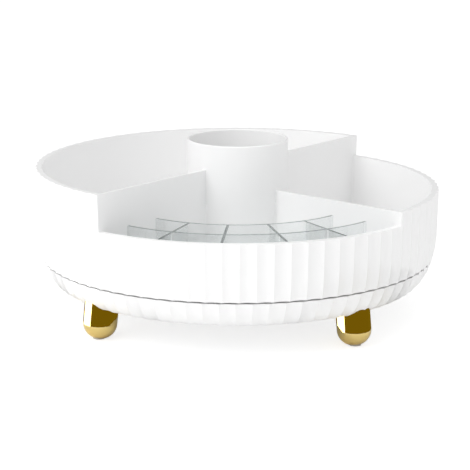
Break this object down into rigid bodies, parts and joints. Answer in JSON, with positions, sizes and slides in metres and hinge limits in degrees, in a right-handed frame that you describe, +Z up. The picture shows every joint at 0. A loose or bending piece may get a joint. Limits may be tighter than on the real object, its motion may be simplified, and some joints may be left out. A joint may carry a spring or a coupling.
{
  "type": "rotating make-up organizer",
  "caption": "Round fluted tray with stepped compartments, a brush cup and a clear lipstick grid, turning on ball bearings over a dish with gold feet.",
  "frame": {"origin": "on the table, under the axis the tray turns about", "axes": "+Z up along the turning axis; the tray's long partition lies along X at rest, and its short partition runs from the cup towards -Y"},
  "size_m": [0.28, 0.2797, 0.1211],
  "materials": {
    "white_abs": "satin",
    "clear_polystyrene": "gloss",
    "gold_plating": "polished",
    "silicone": "matte",
    "zinc_plated_steel": "satin",
    "bearing_steel": "polished",
    "acetal": "matte"
  },
  "bodies": {
    "base": {"base_dish": "white_abs", "foot_right": "gold_plating", "foot_back": "gold_plating", "foot_left": "gold_plating", "foot_front": "gold_plating", "foot_pad_right": "silicone", "foot_pad_back": "silicone", "foot_pad_left": "silicone", "foot_pad_front": "silicone", "foot_screws": "zinc_plated_steel"},
    "cage": {"ball_cage": "acetal", "bearing_ball_01": "bearing_steel", "bearing_ball_02": "bearing_steel", "bearing_ball_03": "bearing_steel", "bearing_ball_04": "bearing_steel", "bearing_ball_05": "bearing_steel", "bearing_ball_06": "bearing_steel", "bearing_ball_07": "bearing_steel", "bearing_ball_08": "bearing_steel", "bearing_ball_09": "bearing_steel", "bearing_ball_10": "bearing_steel"},
    "tray": {"tray": "white_abs", "pivot_washer": "zinc_plated_steel", "pivot_screw": "zinc_plated_steel"},
    "grid": {"lipstick_grid": "clear_polystyrene"}
  },
  "joints": [
    {"name": "tray_spin", "type": "hinge", "parent": "base", "child": "tray", "pos_m": [0, 0, 0.04], "axis": [0, 0, 1], "continuous": true},
    {"name": "cage_spin", "type": "hinge", "parent": "base", "child": "cage", "pos_m": [0, 0, 0.0367], "axis": [0, 0, 1], "continuous": true},
    {"name": "grid_lift", "type": "slide", "parent": "tray", "child": "grid", "axis": [0, 0, 1], "range_m": [0, 0.062]}
  ],
  "couplings": [
    {"joint": "cage_spin", "follows": "tray_spin", "ratio": 0.5}
  ]
}
